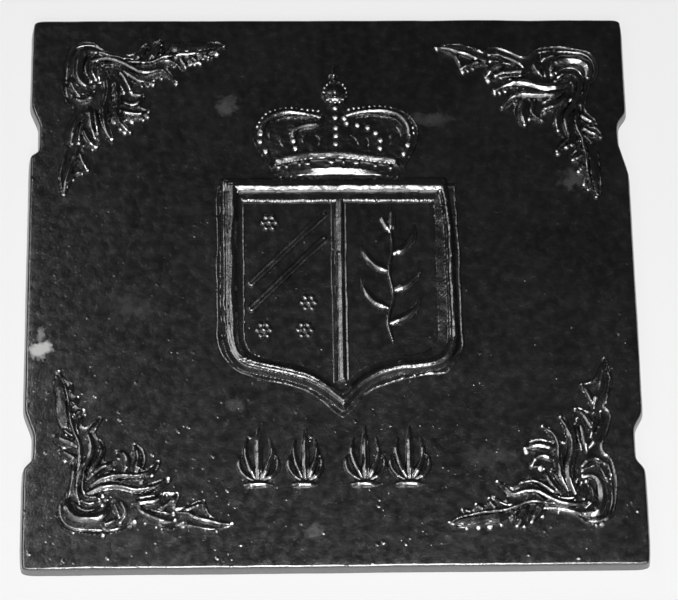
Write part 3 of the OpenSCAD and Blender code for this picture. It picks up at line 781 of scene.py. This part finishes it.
def lower_band(x, z):
    """One broad bevel that faces downwards."""
    foot = profile(x, LOWER_FOOT)
    up, span = z - foot, profile(x, LOWER_HEAD) - foot
    # its front is evenly bright in the middle, and flatter above a thin lit foot at the ends
    aside = np.abs(x - MIDDLE_X)
    front = 0.42 - 0.3 * step((aside - 16) / 24)
    toe = 0.42 - 0.42 * step((aside - 46) / 14)
    bevel = 3.2 * np.clip(up / 0.7, 0, 1) ** 0.6 + toe * np.clip(up, 0, 1.5) + front * np.maximum(up - 1.5, 0)
    top = 3.2 + 1.5 * toe + front * np.maximum(span - 1.5, 0)
    band = np.where(up < 0, up * 1.5, np.where(up > span, top - (up - span) * 2.4, bevel))
    ends = np.minimum(x + 53, 69.5 - x)
    return np.minimum(band, np.minimum(ends * 1.6, 1.2 + ends * 0.13)) + 0.12 * noise(x, z, 9, 63)


def upper_band(x, z):
    """A sloping front between two edges."""
    band = profile(z - np.interp(x, *smooth_line(UPPER_BAND, 5).T), UPPER_ACROSS)
    band = np.minimum(band, np.minimum(x + 61, 71 - x) * 1.2)
    rough = 0.14 * noise(x, z, 5.5, 64) + 0.03 * noise(x, z, 2.4, 65)
    return np.where(band > 5, band + rough, band)


def jewel(x, z, at_x, at_z, half_width, half_height):
    """A flat oval boss whose cap leans down."""
    up = z - at_z + 0.8
    q = np.hypot((x - at_x) / (half_width * 1.15), up / (half_height * 1.2))
    cap = 0.5 * (1 - q * q) + 0.25 * up * np.clip((1 - q) / 0.15, 0, 1)
    return np.where(q < 1, 4.3 * wall(q) + cap, (1 - q) * 4)


def arches(x, z):
    """Two outer arches and an inner one, each with beads along it."""
    out = [ridge(x, z, line, 7.6, 8.2, 0.85, 0.7, slope=0.42, uneven=0.15)
           for line in OUTER_ARCHES + [INNER_ARCH]]
    for line, side in zip(OUTER_ARCHES, (1, -1)):
        # a beaded outer edge and a thin inner one
        out.append(beads(x, z, offset_line(line, 4.4 * side), 1.9, 4.8, 5.4))
        out.append(ridge(x, z, offset_line(line, -5.2 * side)[2:-2:4], 2.2, 3.4, 0.7, 0.7))
    out.append(beads(x, z, offset_line(INNER_ARCH, 4.0), 1.5, 3.8, 4.6))
    return blend(out, 0.5)


def orb(x, z):
    """A ball with a girdle, a bow over it and a ring of small beads, worn unevenly."""
    mx, mz = ORB_AT
    out = [dome(x, z, ORB_AT, 13.6, 8.6, 0.55)]
    turn = np.radians(np.arange(0, 360, 22.5))
    ring = np.column_stack([mx + 11.4 * np.cos(turn), mz + 11.4 * np.sin(turn)])
    out += [bead(x, z, at, 1.9, 5.0 + 1.7 * (k * 7 % 5) / 4, 0.5) for k, at in enumerate(ring)]
    out += [ridge(x, z, [(-7, 487), (mx, 484), (18, 487)], 3.2, 10.4, 0.7, 0.7, slope=0.4),
            ridge(x, z, [(mx, 486), (5.3, 495), (5, 503)], 3.0, 10.0, 0.7, 0.6, slope=0.4)]
    return np.minimum(blend(out, 0.5), ORB_TOP)


def cross(x, z):
    """An upright, an arm, and a boss where they meet."""
    return blend([ridge(x, z, [(4.8, 506.5), (4.2, 514), (3.8, 521.5)], 3.6, 6.2, 0.9, 0.4),
                  dome(x, z, (4.6, 509), 3.1, 6.6, 0.7),
                  ridge(x, z, [(0.6, 509.5), (4.8, 509.5), (9.2, 509.5)], 3.4, 5.6, 0.8, 0.8)], 0.5)


def crown():
    """The cloth, the circlet with its jewels, the arches, the pearls, the orb and the cross."""
    x, z = grid((-84, 394), (96, 526), 0.6)
    relief("crown_lining", x, z, lining(x, z))
    relief("crown_circlet", x, z, blend([lower_band(x, z), upper_band(x, z)], 0.5))
    relief("crown_jewels", x, z, blend([jewel(x, z, *numbers) for numbers in JEWELS], 0.5))
    relief("crown_arches", x, z, arches(x, z))
    relief("crown_pearls", x, z, blend([bead(x, z, at, 3.4, 4.6, 0.45) for at in PEARLS], 0.5))
    relief("crown_orb", x, z, orb(x, z))
    relief("crown_cross", x, z, cross(x, z))


# ---- the row under the shield

# The middle and width of each, and the width and line of the leaves of one that is 42 mm wide
PALMETTE_PLACES = [(-74, 42), (-29, 36), (29, 42), (72, 42)]
SPINE = (8.6, [(0, 8), (0, 24), (0, 42), (0, 60.5)])
SIDE_LEAVES = [
    (6.6, [(3, 9), (9, 22), (13, 36), (11, 49.5)]), (5.6, [(4, 8), (12, 12), (18, 20), (18, 30), (13, 34)])]
BAND = (7.4, [(-13, 3.6), (-4, 4.6), (4, 4.6), (13, 3.6)])
PALMETTE = [SPINE] + SIDE_LEAVES + [(w, [(-p, q) for p, q in line]) for w, line in SIDE_LEAVES] + [BAND]


def palmettes():
    """Four upright leaf fans side by side."""
    for k, (mid, wide) in enumerate(PALMETTE_PLACES):
        x, z = grid((mid - 24, 78), (mid + 24, 144), 0.7)
        parts = []
        for w, line in PALMETTE:
            line = [(mid + p * wide / 42, 80 + q) for p, q in line]
            parts.append(ridge(x, z, line, w, 5.6, 0.6, 0.35, "double" if w > 8 else "round"))
        h = blend(parts, 0.7)
        h = np.where(h > 0.4, h + 0.15 * noise(x, z, 6, 70 + k), h)
        relief("palmette_%d" % (k + 1), x, z, h)


# ---- material

class Nodes:
    """Short ways to build one node tree."""

    def __init__(self, tree):
        self.tree = tree
        tree.nodes.clear()

    def link(self, source, socket):
        self.tree.links.new(source, socket)

    def add(self, kind, *sources, **values):
        """A new node. Its first inputs take the sources; other inputs and settings take the values."""
        n = self.tree.nodes.new("ShaderNode" + kind)
        for key, value in values.items():
            if key in n.inputs:
                n.inputs[key].default_value = value
            else:
                setattr(n, key, value)
        for socket, source in zip(n.inputs, sources):
            self.link(source, socket)
        return n

    def ranged(self, value, from_low, from_high, to_low, to_high):
        """A value carried from one range into another, and held there."""
        ends = {"From Min": from_low, "From Max": from_high, "To Min": to_low, "To Max": to_high}
        return self.add("MapRange", value, **ends).outputs["Result"]

    def math(self, kind, *terms):
        """The outcome of one calculation with numbers and other nodes' results."""
        n = self.add("Math", operation=kind)
        for socket, term in zip(n.inputs, terms):
            if isinstance(term, (int, float)):
                socket.default_value = term
            else:
                self.link(term, socket)
        return n.outputs[0]

    def plus(self, a, b):
        return self.math("ADD", a, b)

    def times(self, a, b):
        return self.math("MULTIPLY", a, b)

    def mixed(self, share, first, second):
        """A blend of two shaders, where share is the second's."""
        return self.add("MixShader", share, first, second).outputs[0]


# Pale scuffs and hazes, where the polish is worn or has dust on it: middle, half width, half height, strength
SCUFFS = [
    (-285, 221, 13, 9, 0.75), (-286, 236, 6, 9, 0.3), (-104, 478, 15, 11, 0.09), (100, 462, 30, 9, 0.05),
    (245, 396, 16, 14, 0.07), (-22, 38, 13, 9, 0.10), (-197, 262, 26, 14, 0.035),
    (150, 110, 30, 12, 0.04), (-100, 165, 12, 8, 0.07), (-235, 170, 8, 14, 0.05)]
# The polish's darkest and brightest tones, a scuff's tone, and the polish's refractive index
DARK, BRIGHT, SCUFF = (0.002, 0.002, 0.0022, 1), (0.016, 0.016, 0.0164, 1), (0.62, 0.62, 0.61, 1)
POLISH_IOR = 2.6


def iron_material():
    """Black stove polish over a cast skin: mottled, finely pitted and glossy."""
    m = bpy.data.materials.new("iron_polished_black")
    m.use_nodes = True
    t = Nodes(m.node_tree)
    shader = t.add("BsdfPrincipled", IOR=POLISH_IOR)
    t.add("OutputMaterial", shader.outputs[0])
    at = t.add("TexCoord").outputs["Object"]
    right, back, up = t.add("SeparateXYZ", at).outputs

    def texture(scale, detail, rough=0.5):
        return t.add("TexNoise", at, Scale=scale, Detail=detail, Roughness=rough).outputs["Fac"]

    def by_height(at_foot, at_top):
        return t.ranged(up, 0.0, 0.57, at_foot, at_top)

    def pimples(cell, rare, seed):
        """Low domes on a few cells out of many, as single grains of sand leave them in a casting."""
        v = t.add("TexVoronoi", at, Scale=1 / cell, Randomness=1.0)
        chosen = t.add("TexWhiteNoise", v.outputs["Position"], noise_dimensions="4D", W=seed)
        # more of them lie towards the foot
        chance = t.plus(chosen.outputs["Value"], by_height(0.06, -0.06))
        on = t.ranged(chance, 1 - rare, 1, 0.15, 1)
        on = t.times(on, t.ranged(chance, 1 - rare - 0.001, 1 - rare, 0, 1))
        return t.times(t.ranged(v.outputs["Distance"], 0.08, 0.27, 1, 0), on)

    skin = texture(110.0, 5.0, 0.62)
    # painted light: the polish's tone is lighter towards the foot, where the lamps below light the face more
    ramp = t.add("ValToRGB", t.plus(texture(14.0, 5.0, 0.6), by_height(0.03, -0.13)))
    for element, position, colour in zip(ramp.color_ramp.elements, (0.35, 0.85), (DARK, BRIGHT)):
        element.position, element.color = position, colour
    patches = t.ranged(texture(60.0, 6.0, 0.75), 0.3, 0.7, -0.75, 0.75)
    total = None
    for x, z, wide, high, strength in SCUFFS:
        dx = t.times(t.math("SUBTRACT", right, x * MM), 1 / (wide * MM))
        dz = t.times(t.math("SUBTRACT", up, z * MM), 1 / (high * MM))
        far = t.math("SQRT", t.plus(t.times(dx, dx), t.times(dz, dz)))
        mask = t.ranged(t.plus(far, patches), 0.95, 0.35, 0, strength)
        total = mask if total is None else t.math("MAXIMUM", total, mask)
    # the back isn't worn
    total = t.times(total, t.ranged(back, 0.002, 0.006, 1, 0))
    worn = t.add("Mix", data_type="RGBA")
    t.link(total, worn.inputs["Factor"])
    # the colour sockets of this node
    t.link(ramp.outputs[0], worn.inputs[6])
    worn.inputs[7].default_value = SCUFF
    t.link(worn.outputs[2], shader.inputs["Base Color"])
    t.link(t.plus(t.ranged(skin, 0.3, 0.7, 0.17, 0.29), t.times(total, 0.4)), shader.inputs["Roughness"])
    # the cast skin's relief, in metres
    height = t.times(pimples(0.0042, 0.13, 1.0), 0.00024)
    height = t.plus(height, t.times(pimples(0.0085, 0.10, 2.0), 0.00038))
    height = t.plus(height, t.times(skin, 0.00055))
    height = t.plus(height, t.times(texture(900.0, 3.0), 0.00006))
    bump = t.add("Bump", Strength=1.0, Distance=1.0)
    t.link(height, bump.inputs["Height"])
    t.link(bump.outputs[0], shader.inputs["Normal"])
    return m


# ---- stage, lights and camera

# The share of a white in a sheet's tone, for the rays that see it so; on the backdrop that white is a little
# brighter towards the foot, as painted light. Its shadows keep the rest
EVEN_SHARE = 0.8
# The sheets' reach to the sides, down and up, the backdrop's gap behind the slab, in metres, and its hole, as
# a share of the slab's outline
FAR, LOW, HIGH, GAP, HOLE = 4.0, -1.6, 4.0, 0.001, 0.993
# Name, place, size and power of the lamps, which point at the plate's middle. The last one is for the back
# alone, which faces away from the others
LAMPS = [
    ("key", (0.02, -2.1, -0.85), (0.85, 1.15), 40),
    ("bounce", (0, -1.8, -1.35), (3.4, 0.9), 10),
    ("side", (-1.25, -1.75, 0.3), (0.8, 1.5), 10.5),
    ("back", (0, 2.2, 1.0), (2.0, 1.4), 12),
]
LAMPS_AIM = Vector((0, 0, 0.28))
# The camera as the outline's corners in the photograph give it
LENS = 132.74
CAMERA_AT = (-0.07872, -2.33912, -0.49784)
CAMERA_RIGHT = Vector((0.99939, -0.03093, -0.01637))
CAMERA_AHEAD = Vector((0.03450, 0.94940, 0.31216))


def matt_material(name, grey, rays, one_sided):
    """A matt finish that some rays see mostly as a white with painted light, a little brighter towards the
    foot. A one-sided one is clear from behind, so that the part's back can be looked at."""
    m = bpy.data.materials.new(name)
    m.use_nodes = True
    t = Nodes(m.node_tree)
    up = t.add("SeparateXYZ", t.add("TexCoord").outputs["Object"]).outputs["Z"]
    matt = t.add("BsdfDiffuse", Color=(grey, grey, grey, 1))
    even = t.add("Emission")
    # painted light: the white is a little brighter towards the foot, as the lamps below light the lower sheet
    # more
    t.link(t.ranged(up, 0.0, 0.6, 1.0, 0.945), even.inputs["Strength"])
    seen = t.add("LightPath")
    chosen = seen.outputs[rays[0]]
    for ray in rays[1:]:
        chosen = t.math("MAXIMUM", chosen, seen.outputs[ray])
    front = t.mixed(t.times(chosen, EVEN_SHARE), matt.outputs[0], even.outputs[0])
    if one_sided:
        clear = t.add("BsdfTransparent")
        front = t.mixed(t.add("NewGeometry").outputs["Backfacing"], front, clear.outputs[0])
    t.add("OutputMaterial", front)
    return m


def sheet(name, points, faces, material):
    """A piece of the stage."""
    mesh = bpy.data.meshes.new(name)
    mesh.from_pydata(points, [], faces)
    mesh.materials.append(material)
    obj = in_scene(name, mesh)


def backdrop():
    """The sheet that the slab lies against. Its hole just inside the slab's outline bares the slab's back."""
    middle = np.array([0.0, (FACE_H / 2 + DRAFT) * MM])
    spoke = outline() * MM - middle
    ends = np.where(spoke > 0, np.array([FAR, HIGH]) - middle, middle - np.array([-FAR, LOW]))
    reach = np.min(ends / np.maximum(np.abs(spoke), 1e-6), axis=1)
    n = len(spoke)
    flat = np.vstack([middle + spoke * HOLE, middle + spoke * reach[:, None]])
    points = np.column_stack([flat[:, 0], np.full(2 * n, BACK * MM + GAP), flat[:, 1]]).tolist()
    faces = [(k, n + k, n + (k + 1) % n, (k + 1) % n) for k in range(n)]
    # the iron and anything clear show the backdrop as the camera sees it
    rays = ("Is Camera Ray", "Is Glossy Ray", "Is Transmission Ray")
    sheet("wall", points, faces, matt_material("backdrop", 0.62, rays, True))


def surroundings():
    """The camera sees white where no sheet is, and the iron reflects the dark room in front of it."""
    world = bpy.data.worlds.new("world")
    world.use_nodes = True
    t = Nodes(world.node_tree)
    dark = t.add("Background", Color=(0.022, 0.022, 0.022, 1))
    white = t.add("Background", Color=(0.93, 0.93, 0.93, 1))
    ray = t.add("LightPath").outputs["Is Camera Ray"]
    t.add("OutputWorld", t.mixed(ray, dark.outputs[0], white.outputs[0]))
    bpy.context.scene.world = world


def stage():
    """The two sheets, the world and the lamps."""
    backdrop()
    floor = [(-FAR, -FAR, LOW), (FAR, -FAR, LOW), (FAR, FAR, LOW), (-FAR, FAR, LOW)]
    sheet("floor", floor, [(0, 1, 2, 3)], matt_material("ground", 0.8, ("Is Camera Ray",), False))
    surroundings()
    for name, at, size, power in LAMPS:
        data = bpy.data.lights.new(name, "AREA")
        data.shape = "RECTANGLE"
        data.size, data.size_y = size
        data.energy = power
        obj = in_scene(name, data)
        obj.location = at
        obj.rotation_euler = (LAMPS_AIM - Vector(at)).to_track_quat("-Z", "Y").to_euler()


def camera():
    """The photograph's camera."""
    data = bpy.data.cameras.new("camera")
    data.sensor_width = 36.0
    data.lens = LENS
    data.clip_start, data.clip_end = 0.05, 50
    obj = in_scene("camera", data)
    ahead = CAMERA_AHEAD.normalized()
    up = CAMERA_RIGHT.cross(ahead).normalized()
    turn = Matrix((ahead.cross(up), up, -ahead)).transposed().to_4x4()
    obj.matrix_world = Matrix.Translation(CAMERA_AT) @ turn
    bpy.context.scene.camera = obj


# ---- the whole

slab()
top = FACE_H + DRAFT
corner("corner_ornament_top_left", (-FACE_W / 2, top), 0, (0.1, 2.0), 1.2, 101)
corner("corner_ornament_top_right", (FACE_W / 2, top), 3, (0, 0), 0, 111)
corner("corner_ornament_bottom_right", (FACE_W / 2, DRAFT), 2, (-2.9, -15.4), 2.3, 121)
corner("corner_ornament_bottom_left", (-FACE_W / 2, DRAFT), 1, (0.2, -11.0), 3.7, 131)
shield()
divider()
charges()
crown()
palmettes()

iron = iron_material()
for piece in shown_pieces():
    piece.data.materials.clear()
    piece.data.materials.append(iron)

stage()
camera()
bpy.context.scene.view_settings.view_transform = "Standard"
